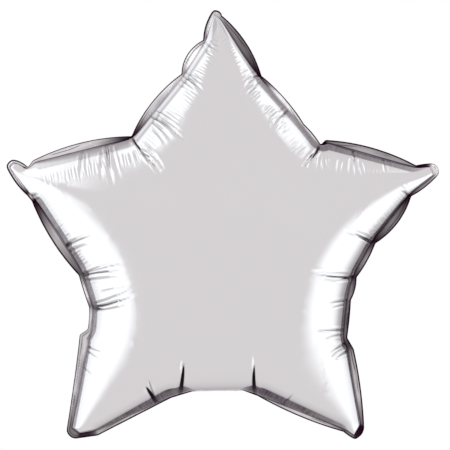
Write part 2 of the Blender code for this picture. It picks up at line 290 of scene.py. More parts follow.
# %% Points and triangles
ROWS = (0.6, 1.3, 2.1, 3.1, 4.3, 5.6)  # mm inside the seam
ZONES = ((6.2, 30.0, 0.88), (30.8, 50.0, 1.9), (52.0, 400.0, 4.2))  # mm from the seam: from, to, spacing
GRID_REACH = 0.26  # past the longest arm's tip
OWN_SIDE = 0.93  # of its distance: a row's point goes where another stretch of the seam is nearer than this
seam_edges = [(i, (i + 1) % seam_count) for i in range(seam_count)]


def grid(spacing):
    """A triangular grid over the whole star, cut to the seam's line."""
    row_height = spacing * math.sqrt(3) / 2
    rows = np.arange(-int(GRID_REACH / row_height), int(GRID_REACH / row_height) + 1)
    columns = np.arange(-int(GRID_REACH / spacing), int(GRID_REACH / spacing) + 1)
    across, up = np.meshgrid(columns, rows)
    points = np.stack([(across + 0.5 * (up % 2)) * spacing, up * row_height], axis=-1).reshape(-1, 2)
    return points[inside(points, seam[::6])]


def twice_areas(points, faces):
    """Twice each flat triangle's area, below nought where it turns the other way."""
    a, b, c = (points[faces[:, k]] for k in range(3))
    return (b - a)[:, 0] * (c - a)[:, 1] - (b - a)[:, 1] * (c - a)[:, 0]


def triangulated(points):
    """Points and triangles of a cloud that starts with the seam's points, all turned the same way."""
    whole_star = [list(range(seam_count))]
    joined = geometry.delaunay_2d_cdt([Vector(point) for point in points], seam_edges, whole_star, 1, 1e-7)
    points = np.array([tuple(point) for point in joined[0]])
    faces = np.array([list(face) for face in joined[2]])
    wrong_way = twice_areas(points, faces) < 0
    faces[wrong_way] = faces[wrong_way][:, ::-1]
    return points, faces


cloud = [seam]
for row in ROWS:
    line = seam - out * row * MM
    away, _ = from_seam(line)
    cloud.append(line[away > OWN_SIDE * row * MM])
for low, high, spacing in ZONES:
    points = grid(spacing * MM)
    away, _ = from_seam(points)
    cloud.append(points[(away > low * MM) & (away < high * MM)])
flat, triangles = triangulated(np.vstack(cloud))
depth_in, nearest = from_seam(flat)
print("film points", len(flat), "triangles", len(triangles))

# %% [markdown]
# ## The dome
#
# A full balloon stands upright at its seam and is nearly level in the middle. A cloth simulation could
# swell it to that, but it takes long and doesn't put each pinch where the photograph has it. A soap film
# over the same border, blown from below, sags by the solution of Poisson's equation, and the square root of
# its sag has the same form as the balloon. The equation is a big sparse system, and the method of conjugate
# gradients solves it with nothing but sums over the mesh's edges. Only the top tip stays slack, and lower
# than that.

# %% Dome height
HALF_DEPTH = cad_high.y - 0.3 * MM
RISE = 0.3 * MM  # each film starts this far from the middle plane, so that the border fits between them
TOP_TIP = np.array((-1, 248)) * MM
TIP_SLACK, TIP_REACH = 0.62, 30 * MM  # how much of its height the top tip loses, and how far that reaches


def edge_weights(points, faces):
    """Cotangent weights of a flat mesh: (from, to, weight) of each half-edge, and each point's area."""
    first, second, weight = [], [], []
    for i, j, k in ((0, 1, 2), (1, 2, 0), (2, 0, 1)):
        u = points[faces[:, i]] - points[faces[:, k]]
        v = points[faces[:, j]] - points[faces[:, k]]
        twice_area = np.abs(u[:, 0] * v[:, 1] - u[:, 1] * v[:, 0])
        cotangent = np.maximum(0.5 * (u * v).sum(1) / np.maximum(twice_area, 1e-14), 1e-3)
        first += [faces[:, i], faces[:, j]]
        second += [faces[:, j], faces[:, i]]
        weight += [cotangent, cotangent]
    area = np.bincount(faces.ravel(), np.repeat(twice_area / 6, 3), len(points))
    return np.concatenate(first), np.concatenate(second), np.concatenate(weight), area


def settled(points, faces):
    """How far a skin sags under an even load, with the first points, its seam, held at nought."""
    first, second, weight, load = edge_weights(points, faces)
    count = len(points)
    diagonal = np.bincount(first, weight, count)
    free = np.arange(count) >= seam_count
    value = np.zeros(count)
    residual = np.where(free, load, 0)
    step = residual / diagonal
    strength = residual @ step
    goal = strength * 1e-16
    for turns in range(4000):
        pushed = np.where(free, diagonal * step - np.bincount(first, weight * step[second], count), 0)
        length = strength / (step @ pushed)
        value += length * step
        residual -= length * pushed
        lean = residual / diagonal
        strength, before = residual @ lean, strength
        if strength < goal:
            break
        step = lean + step * (strength / before)
    print("solved in", turns, "turns")
    return value


def slackness(points):
    """How much of its height the film keeps: all of it, but for the top tip."""
    away = np.linalg.norm(points - TOP_TIP, axis=1)
    return 1 - TIP_SLACK * np.exp(-((away / TIP_REACH) ** 2))


def dome(sag):
    """The full film's height over its seam, from a soap film's sag."""
    return (HALF_DEPTH - RISE) * np.sqrt(np.maximum(sag, 0) / sag.max())


sag = settled(flat, triangles)
height = dome(sag) * slackness(flat)
print("dome height", round(float(height.max()), 4))

# %% [markdown]
# ## Creases
#
# Each pinch sends creases into the dome. They are what makes the film read as foil, so the large ones are
# placed one by one, as curved strokes from the seam inwards. A stroke is a valley with a low ridge on either
# side, deep at the seam and running out to nothing, and the darkest have shade painted along their fold.
# Between them, finer puckers stand square to the seam all round, at uneven spacing, and gather where the large
# ones start. They could be placed by hand too, but there are nearly 300, so they come from a random generator
# with a fixed seed, and each run gives the same ones.

# %% Named creases
# Where each starts, what it bends towards and where it ends, as x and z, then its width and its depth, all in
# mm, and last how dark the shade painted along its fold is, above 1 for black.
CREASES = {
    "upper left notch": (
        (-92, 115, -87, 106, -79, 97, 1.1, 1.5, 2.0),
        (-84, 103, -77, 94, -68, 80, 0.9, 1.2, 0.45),
        (-78, 95, -58, 82, -42, 38, 1.3, 3.4, 0.0),
        (-76, 99, -60, 89, -46, 62, 1.2, 2.6, 0.0),
        (-70, 98, -60, 88, -54, 75, 1.1, 1.0, 0.0),
    ),
    "top arm left lower": (
        (-72, 137, -52, 126, -32, 104, 1.4, 2.6, 0.35),
        (-68, 138, -53, 131, -34, 112, 1.2, 2.1, 0.25),
        (-66, 142, -55, 137, -47, 130, 1.1, 0.9, 0.15),
        (-69, 129, -58, 120, -47, 107, 1.2, 1.4, 0.25),
        (-69, 123, -61, 113, -53, 103, 1.1, 1.1, 0.2),
    ),
    "top arm left upper": (
        (-41, 182, -29, 173, -15, 159, 1.4, 2.2, 0.35),
        (-37, 184, -27, 178, -19, 169, 1.2, 1.3, 0.2),
        (-40, 176, -31, 168, -24, 160, 1.2, 1.3, 0.3),
        (-42, 170, -35, 165, -29, 159, 1.1, 0.9, 0.2),
    ),
    "top arm left tip": (
        (-18, 217, -12, 213, -5, 207, 1.2, 1.3, 0.4),
        (-18, 211, -13, 207, -8, 200, 1.1, 0.9, 0.2),
    ),
    "left arm top, inner pinch": (
        (-118, 107, -116, 92, -108, 60, 1.4, 2.3, 0.2),
        (-112, 105, -108, 88, -100, 66, 1.2, 1.2, 0.0),
        (-115, 100, -114, 84, -113, 68, 1.1, 1.0, 0.0),
        (-121, 100, -123, 84, -120, 66, 1.2, 1.1, 0.0),
    ),
    "left arm top, outer pinch": (
        (-143, 102, -144, 88, -143, 70, 1.3, 1.4, 0.2),
        (-140, 97, -138, 86, -136, 72, 1.1, 1.0, 0.0),
    ),
    "left arm below, tip pinch": (
        (-204, 51, -196, 51, -188, 54, 1.3, 1.8, 0.9),
        (-200, 46, -193, 47, -186, 49, 1.1, 1.2, 0.4),
        (-206, 50, -201, 51, -195, 52, 1.6, 0.8, 1.8),
    ),
    "left arm below, upper pinch": (
        (-166, -5, -152, 3, -128, 11, 1.4, 2.0, 0.7),
        (-162, -10, -148, -3, -130, 2, 1.2, 1.3, 0.35),
        (-160, -1, -148, 8, -136, 12, 1.1, 1.0, 0.2),
        (-170, -8, -163, -3, -154, 2, 1.9, 0.8, 1.6),
    ),
    "left arm below, lower pinch": (
        (-149, -34, -132, -29, -97, -26, 1.3, 2.1, 0.9),
        (-145, -31, -124, -25, -92, -17, 1.1, 1.5, 0.5),
        (-138, -29, -122, -22, -104, -15, 1.1, 1.0, 0.15),
        (-144, -38, -126, -36, -96, -31, 1.1, 1.3, 0.45),
        (-152, -36, -144, -33, -132, -31, 1.7, 0.8, 1.8),
    ),
    "left notch": (
        (-122, -49, -104, -45, -88, -40, 1.1, 0.9, 0.15),
        (-138, -66, -118, -65, -84, -51, 1.4, 2.4, 1.0),
        (-132, -62, -112, -57, -84, -42, 1.1, 1.5, 0.5),
        (-132, -69, -113, -68, -90, -60, 1.1, 1.4, 0.5),
        (-141, -67, -132, -67, -116, -67, 1.9, 0.8, 1.8),
    ),
    "left leg outer, upper pinch": (
        (-140, -107, -132, -110, -120, -112, 1.3, 1.5, 0.5),
        (-141, -111, -134, -115, -124, -119, 1.2, 1.3, 0.4),
    ),
    "left leg outer, lower pinch": (
        (-144, -130, -138, -132, -131, -137, 1.1, 1.0, 0.3),
    ),
    "left leg inner pinch": (
        (-63, -170, -69, -158, -76, -146, 2.6, 1.6, 3.2),
        (-67, -157, -71, -147, -72, -139, 1.0, 0.8, 0.6),
        (-62, -159, -66, -151, -68, -143, 1.0, 0.7, 0.0),
    ),
    "left of the tail": (
        (-43, -172, -37, -148, -35, -119, 2.6, 1.8, 3.2),
        (-37, -134, -36, -122, -36, -109, 1.3, 1.3, 0.0),
    ),
    "right of the tail": (
        (42, -172, 35, -148, 38, -121, 2.5, 1.8, 3.2),
        (37, -132, 39, -120, 36, -108, 1.3, 1.3, 0.0),
    ),
    "right leg inner pinch": (
        (66, -172, 70, -166, 80, -154, 1.2, 1.3, 0.6),
        (63, -170, 69, -165, 77, -162, 1.1, 1.0, 0.5),
        (88, -183, 93, -178, 100, -175, 1.1, 1.1, 0.6),
        (65, -176, 67, -171, 72, -166, 1.6, 0.6, 1.2),
        (87, -186, 91, -181, 97, -177, 1.6, 0.6, 1.2),
    ),
    "right leg outer, lower pinch": (
        (140, -103, 130, -106, 116, -112, 1.2, 1.7, 0.8),
        (134, -108, 126, -111, 116, -117, 1.1, 1.2, 0.5),
        (142, -103, 136, -105, 129, -107, 1.9, 0.8, 1.5),
    ),
    "right leg outer, lowest pinch": (
        (140, -112, 132, -114, 121, -120, 1.1, 1.2, 0.6),
    ),
    "right leg outer, upper pinch": (
        (139, -90, 127, -91, 98, -87, 1.3, 1.9, 0.6),
        (134, -95, 124, -95, 108, -97, 1.1, 1.3, 0.35),
        (141, -90, 136, -91, 129, -91, 1.5, 0.6, 1.2),
    ),
    "right leg outer, root pinch": (
        (143, -58, 131, -60, 112, -60, 1.3, 1.7, 0.6),
        (138, -62, 128, -64, 116, -66, 1.1, 1.1, 0.3),
        (145, -57, 139, -59, 130, -60, 1.5, 0.6, 1.2),
    ),
    "right notch": (
        (149, -35, 131, -35, 98, -30, 1.6, 2.4, 1.0),
        (140, -31, 122, -30, 94, -27, 1.2, 1.6, 0.2),
        (138, -37, 122, -38, 100, -34, 1.2, 1.2, 0.3),
        (152, -35, 143, -35, 126, -36, 1.7, 0.8, 2.0),
    ),
    "right arm below, upper pinch": (
        (168, 0, 157, 5, 140, 12, 1.4, 2.0, 1.0),
        (164, 6, 154, 10, 141, 17, 1.1, 1.3, 0.4),
        (158, 4, 146, 9, 130, 15, 1.1, 1.2, 0.15),
        (171, -1, 163, 2, 152, 8, 1.9, 0.8, 1.8),
    ),
    "right arm below, tip pinch": (
        (207, 49, 201, 53, 191, 58, 1.3, 1.7, 0.9),
        (209, 48, 204, 50, 198, 53, 1.6, 0.8, 1.8),
    ),
    "upper right notch": (
        (109, 108, 104, 98, 97, 89, 1.2, 2.0, 2.0),
        (103, 98, 89, 84, 74, 60, 1.3, 1.6, 0.0),
        (100, 94, 92, 79, 86, 62, 1.2, 1.4, 0.0),
        (98, 92, 87, 82, 79, 72, 1.1, 1.1, 0.0),
    ),
    "top arm right, lower pinch": (
        (77, 145, 70, 138, 63, 131, 1.4, 1.9, 0.7),
        (64, 133, 55, 122, 42, 102, 1.2, 1.4, 0.0),
        (66, 137, 56, 128, 47, 116, 1.1, 1.2, 0.0),
        (79, 147, 74, 142, 68, 136, 1.5, 0.8, 0.9),
    ),
    "top arm right, upper pinch": (
        (46, 181, 40, 178, 34, 175, 1.3, 1.8, 0.7),
        (38, 176, 31, 169, 23, 158, 1.2, 1.4, 0.0),
        (42, 171, 35, 163, 28, 152, 1.1, 1.2, 0.0),
        (48, 183, 43, 180, 37, 176, 1.5, 0.8, 0.9),
    ),
    "right arm top, inner pinch": (
        (142, 104, 143, 94, 143, 84, 1.2, 1.4, 0.5),
        (139, 90, 137, 80, 135, 66, 1.1, 1.2, 0.0),
        (143, 90, 144, 78, 142, 64, 1.1, 1.2, 0.0),
        (147, 88, 149, 78, 151, 68, 1.1, 1.1, 0.0),
        (126, 88, 124, 78, 122, 68, 1.1, 1.0, 0.0),
    ),
    "right arm top, outer pinch": (
        (175, 95, 175, 86, 175, 76, 1.1, 1.0, 0.3),
    ),
}

# %% Crease strokes
STROKE_POINTS = 13
RIDGE_AWAY, RIDGE_HIGH = 2.2, 0.45  # a ridge's distance in widths, and its height for each depth
NARROWEST_FOLD = 0.75 * MM  # half the width of the narrowest dark fold
dent = np.zeros(len(flat))  # how deep each point is pressed in, in metres
# The next array holds the shade painted along the darkest creases' folds, for the film's colour.
fold_shade = np.zeros(len(flat))  # how dark the fold at each point is


def stroke(start, bend, end, width, depth, dark=0.0):
    """Adds one crease to dent and, where dark is given, the shade painted along its fold. Sizes are in metres.
    """
    t = np.linspace(0, 1, STROKE_POINTS)[:, None]
    path = (1 - t) ** 2 * start + 2 * t * (1 - t) * bend + t ** 2 * end
    low, high = path.min(0) - 5 * width, path.max(0) + 5 * width
    near = np.nonzero(((flat > low) & (flat < high)).all(1))[0]
    best = np.full(len(near), 9.0)
    along = np.zeros(len(near))
    for k in range(len(path) - 1):
        side = path[k + 1] - path[k]
        offset = flat[near] - path[k]
        part = np.clip(offset @ side / (side @ side), 0, 1)
        away = np.linalg.norm(offset - part[:, None] * side, axis=1)
        closer = away < best
        best[closer] = away[closer]
        along[closer] = ((k + part) / (len(path) - 1))[closer]
    fade = (1 - along ** 1.5) * (1 - np.exp(-(along + 0.02) * 14))
    valley = np.exp(0.3 - np.hypot(best / width, 0.3))
    ridge = np.exp(-((best - RIDGE_AWAY * width) / width) ** 2)
    dent[near] += depth * fade * (valley - RIDGE_HIGH * ridge)
    # A dark crease gets shade painted along its fold, where a real fold traps light.
    if dark:
        narrow = np.maximum(0.85 * width * (1.02 - along) ** 0.5, NARROWEST_FOLD)
        shade = dark * np.exp(-(best / narrow) ** 3) * np.clip((0.95 - along) / 0.25, 0, 1)
        fold_shade[near] = np.maximum(fold_shade[near], shade)


creases = np.array([row for rows in CREASES.values() for row in rows])
for row in creases:
    start, bend, end = row[:6].reshape(3, 2) * MM
    stroke(start, bend, end, row[6] * MM, row[7] * MM, row[8])
print("creases", len(creases), "deepest", round(float(dent.max()) / MM, 2), "mm")

# %% Where the fine creases gather
GATHER_REACH = 11 * MM  # along the seam, from where a large crease starts
chance = np.random.default_rng(11)
gathered = np.zeros(seam_count)
for row in creases:
    steps_away = np.abs(np.arange(seam_count) - np.linalg.norm(seam - row[:2] * MM, axis=1).argmin())
    steps_away = np.minimum(steps_away, seam_count - steps_away)
    gathered = np.maximum(gathered, np.exp(-((steps_away * SEAM_STEP / GATHER_REACH) ** 2)))
streaks, streaks_from, streaks_to = eased(np.array([row[6:9] for row in BORDER])[scallop], 5).T
streaks = streaks * (0.35 + 0.85 * gathered)
lively = eased(chance.normal(0, 1, seam_count), 14)
lively = np.maximum(0.15, 0.7 + 0.5 * lively / lively.std()) * streaks
print("seam beside a large crease", round(float((gathered > 0.5).mean()), 2))

# %% Fine puckers
PUCKER_SPACING = (3.6, 7.5)  # mm
WELD_HOLD = 2.5 * MM  # so close to the seam the weld holds the film, and creases lose depth
place = 0.0
puckers = 0
while place < seam_count:
    at = int(place)
    inwards = -out[at]
    sideways = np.array([-inwards[1], inwards[0]])
    length = (streaks_to[at] - streaks_from[at]) * chance.uniform(0.4, 0.9) * MM
    start = seam[at] + inwards * streaks_from[at] * chance.uniform(0.9, 1.3) * MM
    end = start + (inwards + sideways * chance.normal(0, 0.16)) * length
    size = lively[at] * chance.uniform(0.12, 0.42) * MM
    stroke(start, (start + end) / 2, end, chance.uniform(1.0, 1.5) * MM, size)
    place += chance.uniform(*PUCKER_SPACING) * MM / SEAM_STEP
    puckers += 1
dent *= np.clip(depth_in / WELD_HOLD, 0, 1)
print("puckers", puckers, "deepest", round(float(dent.max()) / MM, 2), "mm")

# %% [markdown]
# ## The two films as closed pieces
#
# A film of 0.04 mm has no thickness to see, yet a mesh that is one skin thick has a wrong side. So each
# film gets a coarse inner skin, and a flat rim joins the two along the seam. A Solidify modifier could add
# that skin as well, but with as many triangles again for a side that nobody sees. The creases are pressed
# in along the dome's own direction, because near the seam that direction is nearly sideways.

# %% Skins
INNER_SIZE, INNER_HEIGHT = 0.962, 0.93  # of the outer skin's
INNER_SPACING, INNER_MARGIN = 9 * MM, 6 * MM


def placed(points, depth):
    """Points of the seam's plane, as (x, z), moved to a depth, as (x, y, z)."""
    return np.stack([points[:, 0], depth, points[:, 1]], axis=1)


def film_normals(points, faces):
    """Unit normals at the points of a mesh."""
    a, b, c = (points[faces[:, k]] for k in range(3))
    face_normals = np.cross(b - a, c - a)
    found = np.zeros_like(points)
    for k in range(3):
        for axis in range(3):
            found[:, axis] += np.bincount(faces[:, k], face_normals[:, axis], len(points))
    return found / np.linalg.norm(found, axis=1)[:, None]


smooth_dome = placed(flat, -RISE - height)
outer_skin = smooth_dome - film_normals(smooth_dome, triangles) * dent[:, None]

inner_cloud = grid(INNER_SPACING)
inner_cloud = inner_cloud[from_seam(inner_cloud)[0] > INNER_MARGIN]
inner_flat, inner_triangles = triangulated(np.vstack([seam, inner_cloud]))
inner_dome = INNER_HEIGHT * dome(settled(inner_flat, inner_triangles))
inner_flat = inner_flat * INNER_SIZE
inner_skin = placed(inner_flat, -RISE - inner_dome * slackness(inner_flat))
print("inner skin points", len(inner_skin), "outer skin", len(outer_skin))

# %% What the film carries at its points
OFF_THE_MAP = 0.2  # the inner skin's distance from the seam in the seam map, past all that is drawn there


def slope_of(values):
    """How steeply a value at the film's points changes over the flat film."""
    steep = np.zeros((len(triangles), 2))
    for k in range(3):
        opposite = flat[triangles[:, (k + 2) % 3]] - flat[triangles[:, (k + 1) % 3]]
        steep += values[triangles[:, k]][:, None] * np.stack([-opposite[:, 1], opposite[:, 0]], axis=1)
    slope = np.linalg.norm(steep, axis=1) / twice_areas(flat, triangles)
    faces_at_point = np.bincount(triangles.ravel(), minlength=len(flat))
    return np.bincount(triangles.ravel(), np.repeat(slope, 3), len(flat)) / faces_at_point


# The sag is level along the ridge in the middle of each arm, so this is 1 there and nought at the seam.
to_ridge = depth_in / np.maximum(depth_in + slope_of(sag), 1e-6)
calm = np.clip((0.78 - to_ridge) / 0.35, 0, 1)
tangent = np.stack([out[nearest][:, 1], -out[nearest][:, 0]], axis=1)
along_seam = nearest * SEAM_STEP + ((flat - seam[nearest]) * tangent).sum(1)
# The fold's shade and the strip's four values below are painted reflection and shade for the film's colour.
film_values = {
    "near_seam": calm * streaks[nearest], "fold_shade": fold_shade,
    "streaks_from": streaks_from[nearest] * MM, "streaks_to": streaks_to[nearest] * MM,
    "strip_width": strip[nearest, 0], "strip_tone": strip[nearest, 1],
    "strip_line": strip[nearest, 2], "strip_shade": strip[nearest, 3],
}
print("film values", *film_values)

# %% Film pieces


def mesh_piece(name, points, faces):
    """A new object from points and faces, shaded smooth."""
    mesh = bpy.data.meshes.new(name)
    mesh.from_pydata([tuple(p) for p in points], [], [tuple(f) for f in faces])
    mesh.update()
    mesh.shade_smooth()
    piece = bpy.data.objects.new(name, mesh)
    scene.collection.objects.link(piece)
    return piece


def set_values(piece, name, values):
    """One number for each of a piece's points, for its material to read."""
    attribute = piece.data.attributes.new(name, "FLOAT", "POINT")
    attribute.data.foreach_set("value", np.array(values, np.float32))


def set_seam_map(piece, along, inwards):
    """A UV map that follows the seam: along it, and inwards from it, both in metres."""
    corner_points = np.zeros(len(piece.data.loops), np.int32)
    piece.data.loops.foreach_get("vertex_index", corner_points)
    at_corners = np.stack([along, inwards], axis=1)[corner_points]
    layer = piece.data.uv_layers.new(name="seam_map")
    layer.data.foreach_set("uv", at_corners.astype(np.float32).ravel())


def film_piece(name, side):
    """One film as a closed piece: outer skin, inner skin turned round, and the rim between them."""
    count = len(outer_skin)
    faces = list(triangles) + list(inner_triangles[:, ::-1] + count)
    faces += [(i, j, count + j, count + i) for i, j in seam_edges]
    points = np.vstack([outer_skin, inner_skin])
    if side > 0:
        points = points * (1, -1, 1)
        faces = [face[::-1] for face in faces]
    piece = mesh_piece(name, points, faces)
    unseen = np.zeros(len(inner_skin))
    set_seam_map(piece, np.append(along_seam, unseen), np.append(depth_in, unseen + OFF_THE_MAP))
    for value_name, values in film_values.items():
        set_values(piece, value_name, np.append(values, unseen))
    return piece


front_film = film_piece("front_film", -1)
back_film = film_piece("back_film", 1)
for piece, node in ((front_film, "front_panel"), (back_film, "back_panel")):
    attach(piece, "root")
    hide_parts(node)
    print(piece.name, "triangles", sum(len(p.vertices) - 2 for p in piece.data.polygons))

# %% [markdown]
# ## The border
#
# Outside the seam the two films are welded to one stiff ribbon. Between two pinches there is more ribbon
# than room, so each scallop leans forwards or backwards and rolls, and light falls off along it quite
# differently from its neighbour. A curve with a flat bevel could be tilted by hand at each pinch. Here a
# loop lays rows of points from the seam to the cut edge, which gives each scallop its own lean and roll,
# and the whole ribbon small cross crimps.

# %% Border ribbon
RIBBON_THICK = 0.4 * MM
RIBBON_ROWS = 9
RIBBON_TUCK = 1.0 * MM  # how far it reaches in between the films
ROLL, CRIMP = 0.11, 0.22 * MM
ribbon_chance = np.random.default_rng(4)
leans = np.array([row[5] for row in BORDER]) + ribbon_chance.uniform(-0.1, 0.1, len(BORDER))
rolls = ribbon_chance.uniform(0.3, 0.9, len(BORDER)) * ribbon_chance.choice((-1, 1), len(BORDER))
ribbon_width = np.linalg.norm(rim - seam, axis=1)
crimp = eased(ribbon_chance.normal(0, 1, seam_count), 1.6)
crimp *= CRIMP / crimp.std()
ribbon = [placed(seam - out * RIBBON_TUCK, np.zeros(seam_count))]
rows_across = np.arange(RIBBON_ROWS + 1) / RIBBON_ROWS
for across in rows_across:
    roll = np.sin(math.pi * 1.6 * across) * rolls[scallop] * ROLL + leans[scallop] * across
    offset = eased(roll * ribbon_width * mid, 2) + crimp * across
    ribbon.append(placed(seam + (rim - seam) * across, offset))
front_rows = [row - (0, RIBBON_THICK / 2, 0) for row in ribbon]
back_rows = [row + (0, RIBBON_THICK / 2, 0) for row in ribbon]
ring = front_rows + back_rows[::-1]
faces = []
for k in range(len(ring)):
    near, far = k * seam_count, (k + 1) % len(ring) * seam_count
    faces += [(near + i, near + j, far + j, far + i) for i, j in seam_edges]
border = mesh_piece("seam_border", np.vstack(ring), faces)
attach(border, "root")
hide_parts("border_seal")
narrow, wide = (round(float(width) / MM, 1) for width in (ribbon_width.min(), ribbon_width.max()))
print("border width", narrow, "to", wide, "mm")

# %% What the border carries at its points
out_from_seam = np.outer([0, *rows_across], ribbon_width)
every_row = np.ones((len(ribbon), 1))
# The border's tone and its edge and weld lines are painted reflection and shade, for its colour.
border_values = {
    "from_seam": out_from_seam, "from_edge": ribbon_width - out_from_seam, "tone": tone * every_row,
    "edge_line": lines[:, 0] * every_row, "weld_line": lines[:, 1] * every_row,
}
for name, front in border_values.items():
    set_values(border, name, np.concatenate([front, front[::-1]]).ravel())
points = np.arange(len(ring) * seam_count)
rows = points // seam_count
set_seam_map(border, points % seam_count * SEAM_STEP, np.minimum(rows, len(ring) - 1 - rows) * MM)
print("border values", *border_values)

# %% [markdown]
# ## The filling tail
#
# The balloon is filled through a tail at its bottom notch, a strip where the two films run on, with a
# one-way valve of two clear films between them. Once the balloon is full, the tail is folded up behind it.
# It starts under the border, lies round the back dome's swell and then stands straight off it. From the
# front it can't be seen. A simulation could fold it up, but it has to lie where the CAD model has it. So a
# ray shot at the back dome at each height gives the swell, and the line that a stretched film takes over it
# is its hull.

# %% Tail line
TAIL_MIDDLE = -2 * MM
TAIL_ROOT = -151 * MM
TAIL_ROOT_WIDTH, TAIL_WIDTH, TAIL_TAPER = 46 * MM, 34 * MM, 40 * MM
TAIL_LENGTH, TAIL_FLAT = 92 * MM, 36 * MM
VALVE_REACH, VALVE_TONGUE = 66 * MM, 6 * MM
tail_low, tail_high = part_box("tail_outer_film")
back_tree = BVHTree.FromPolygons([tuple(p * (1, -1, 1)) for p in outer_skin], [tuple(f) for f in triangles])


def swell_line():
    """The back dome's furthest reach behind the tail's width, at each height, as (y, z)."""
    line = []
    for z in np.arange(TAIL_ROOT + 2 * MM, TAIL_ROOT + 80 * MM, 1 * MM):
        reach = 0.0
        for x in np.linspace(TAIL_MIDDLE - TAIL_ROOT_WIDTH / 2, TAIL_MIDDLE + TAIL_ROOT_WIDTH / 2, 31):
            hit = back_tree.ray_cast(Vector((x, 0.3, z)), Vector((0, -1, 0)))[0]
            if hit:
                reach = max(reach, hit.y)
        line.append((reach, z))
    return line


def stretched(points, start):
    """The points that a stretched film touches on its way outwards and up over them."""
    line = [start]
    rest = [p for p in points if p[0] > start[0]]
    while rest:
        turns = [math.atan2(p[1] - line[-1][1], p[0] - line[-1][0]) for p in rest]
        best = turns.index(min(turns))
        line.append(rest[best])
        rest = rest[best + 1:]
    return line


under = TAIL_ROOT - 1.6 * MM
bend_points = [(-1.0 * MM, under), (1.0 * MM, under)]
tail_path = np.array(bend_points[:1] + stretched(swell_line(), bend_points[1]))
path_lengths = np.concatenate([[0], np.cumsum(np.linalg.norm(np.diff(tail_path, axis=0), axis=1))])
print("tail line", len(tail_path), "points, CAD tail", [round(x, 3) for x in (*tail_low, *tail_high)])

# %% Tail's course, width and crumple
TAIL_LIFT = 0.9 * MM
# Where each sharp fold is along the tail in mm, how it leans and how high it is in mm.
TAIL_FOLDS = ((24, 0.25, 0.7), (41, -0.35, -0.6), (58, 0.15, 0.8), (79, -0.2, -0.5))
FOLD_WIDTH = 1.6 * MM


def on_path(length):
    """The point at a length along the tail line, in (y, z)."""
    return np.array([np.interp(length, path_lengths, tail_path[:, k]) for k in (0, 1)])


def on_tail(place):
    """The tail's point and outward direction at a length along it, in (y, z). Its end runs straight on."""
    curved = TAIL_LENGTH - TAIL_FLAT
    held = min(place, curved)
    here, ahead = on_path(held - 2 * MM), on_path(held + 2 * MM)
    way = (ahead - here) / np.linalg.norm(ahead - here)
    return (here + ahead) / 2 + way * max(0.0, place - curved), np.array([way[1], -way[0]])


def tail_half_width(place):
    part = min(1.0, max(0.0, place / TAIL_TAPER))
    return (TAIL_ROOT_WIDTH + (TAIL_WIDTH - TAIL_ROOT_WIDTH) * part * part * (3 - 2 * part)) / 2


def crumple(x, place):
    """How far the tail's films stand off their line: soft buckles across it and a few sharp folds."""
    wave = 0.35 * np.sin(place * 190 + 60 * x) + 0.25 * np.sin(place * 410 - 130 * x + 1.1)
    folds = 0.0
    for at, lean, size in TAIL_FOLDS:
        folds = folds + size * np.exp(-(((place - at * MM - lean * x) / FOLD_WIDTH) ** 2))
    return (wave + folds + 0.3 * np.cos(x * 260)) * MM * min(1.0, max(0.0, (place - 12 * MM) / (20 * MM)))


print("tail ends at", [round(float(x), 3) for x in on_tail(TAIL_LENGTH)[0]])

# %% A strip of the tail


def tail_strip(name, span, lift, thickness, edges, columns):
    """One film of the tail as a thin closed strip. edges(place) gives its two sides."""
    steps = np.linspace(*span, max(2, round((span[1] - span[0]) / (1.5 * MM)) + 1))
    points, from_side = [], []
    for place in steps:
        at, off = on_tail(place)
        left, right = edges(place)
        for layer_lift in (lift, lift + thickness):
            for x in np.linspace(left, right, columns):
                spot = at + off * (TAIL_LIFT + layer_lift + crumple(x, place))
                points.append((TAIL_MIDDLE + x, spot[0], spot[1]))
                from_side.append(min(x - left, right - x))
    row = 2 * columns
    loop = list(range(columns)) + list(range(2 * columns - 1, columns - 1, -1))
    faces = []
    for k in range(len(steps) - 1):
        for a, b in zip(loop, loop[1:] + loop[:1]):
            faces.append((k * row + a, k * row + b, (k + 1) * row + b, (k + 1) * row + a))
    for k in range(columns - 1):
        faces.append((k, columns + k, columns + k + 1, k + 1))
        end = (len(steps) - 1) * row
        faces.append((end + k, end + k + 1, end + columns + k + 1, end + columns + k))
    piece = mesh_piece(name, points, faces)
    set_values(piece, "from_side", from_side)
    return piece


# %% Tail and valve pieces
SEALED = 4 * MM
FILM = 0.25 * MM


def whole_width(place):
    return -tail_half_width(place), tail_half_width(place)


def left_edge(place):
    return -tail_half_width(place), SEALED - tail_half_width(place)


def right_edge(place):
    return tail_half_width(place) - SEALED, tail_half_width(place)


def between_edges(place):
    side = TAIL_WIDTH / 2 - SEALED - 0.4 * MM
    return -side, side


whole = (0.0, TAIL_LENGTH)
valve = (TAIL_LENGTH - VALVE_REACH, TAIL_LENGTH + VALVE_TONGUE)
TAIL_PIECES = [  # name, node, from and to, lift, thickness, sides, columns, slot
    ("tail_film_inner", "tail_inner_film", whole, 0.0, FILM, whole_width, 25, "foil"),
    ("tail_edge_left", "tail_seal_left", whole, 0.45 * MM, 1.0 * MM, left_edge, 5, "seal"),
    ("tail_edge_right", "tail_seal_right", whole, 0.45 * MM, 1.0 * MM, right_edge, 5, "seal"),
    ("valve_film_inner", "valve_inner_film", valve, 0.55 * MM, FILM, between_edges, 17, "valve"),
    ("valve_film_outer", "valve_outer_film", valve, 1.05 * MM, FILM, between_edges, 17, "valve"),
    ("tail_film_outer", "tail_outer_film", whole, 1.65 * MM, FILM, whole_width, 25, "foil"),
]
tail_pieces = {}
for name, node, span, lift, thickness, edges, columns, slot in TAIL_PIECES:
    piece = tail_strip(name, span, lift, thickness, edges, columns)
    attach(piece, "root")
    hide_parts(node)
    tail_pieces[name] = piece
print("tail pieces", len(tail_pieces))

# %% [markdown]
# ## Shader arithmetic
#
# A material is easier to read as a formula than as a wall of nodes. A small class holds one output socket,
# and adding, multiplying or comparing two of them adds the Math node that does it.

# %% One socket, with arithmetic


